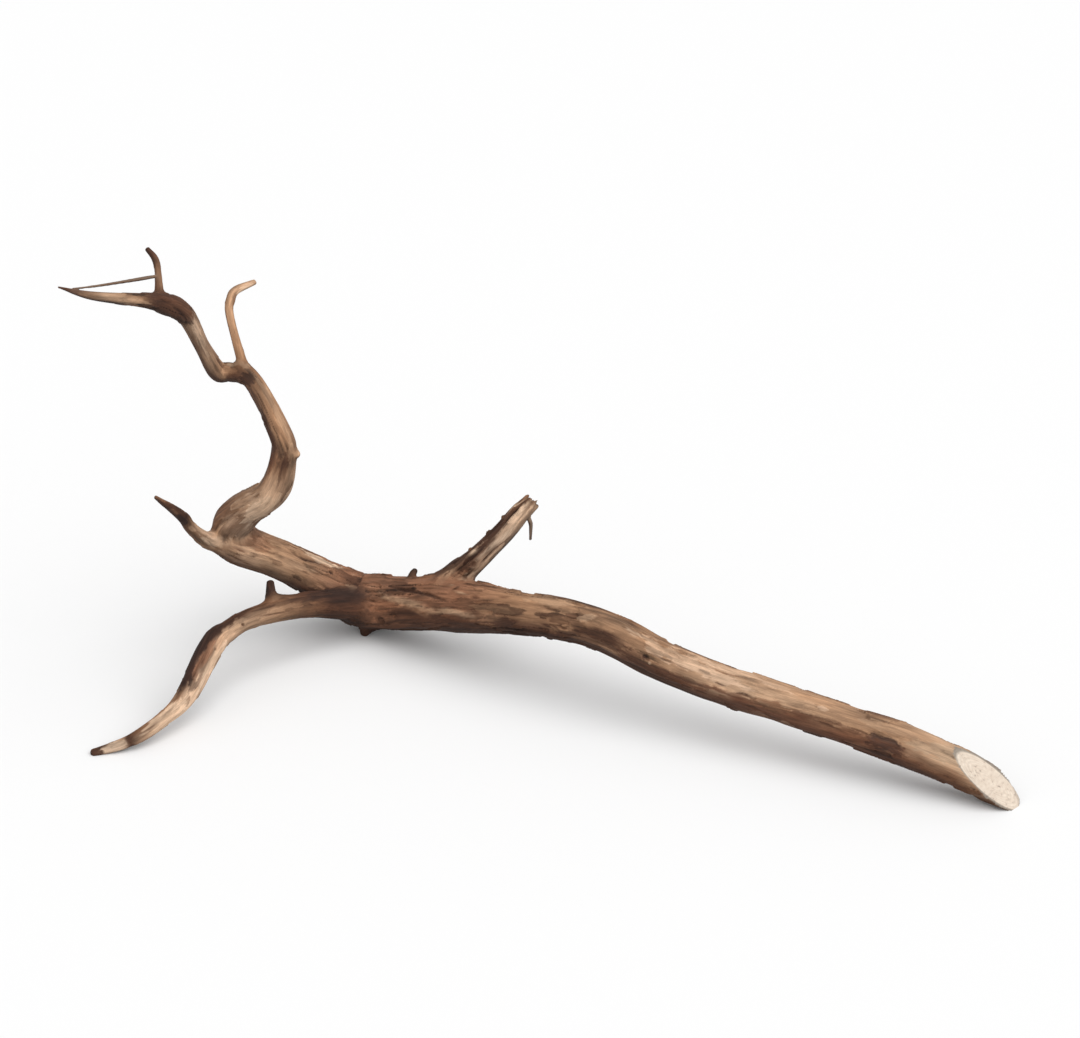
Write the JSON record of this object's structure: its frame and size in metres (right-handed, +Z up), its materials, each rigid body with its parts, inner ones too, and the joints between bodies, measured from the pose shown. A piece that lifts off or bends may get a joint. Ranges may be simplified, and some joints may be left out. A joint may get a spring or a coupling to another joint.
{
  "type": "piece of driftwood",
  "caption": "Long bent driftwood branch with a slanting sawn butt, a thick knobbed belly, a forked end with curling twigs and a side limb broken off short.",
  "frame": {"origin": "centre of the bounding box in plan, at the level of the surface it rests on", "axes": "+X along the trunk towards the sawn end, +Z up; the sawn end and the lower limb's tip both reach forward to -Y"},
  "size_m": [0.8405, 0.3564, 0.4344],
  "materials": {
    "weathered_wood": "dry weathered bare wood with torn darker bark, matt"
  },
  "bodies": {
    "root": {"driftwood": "weathered_wood"}
  },
  "joints": []
}
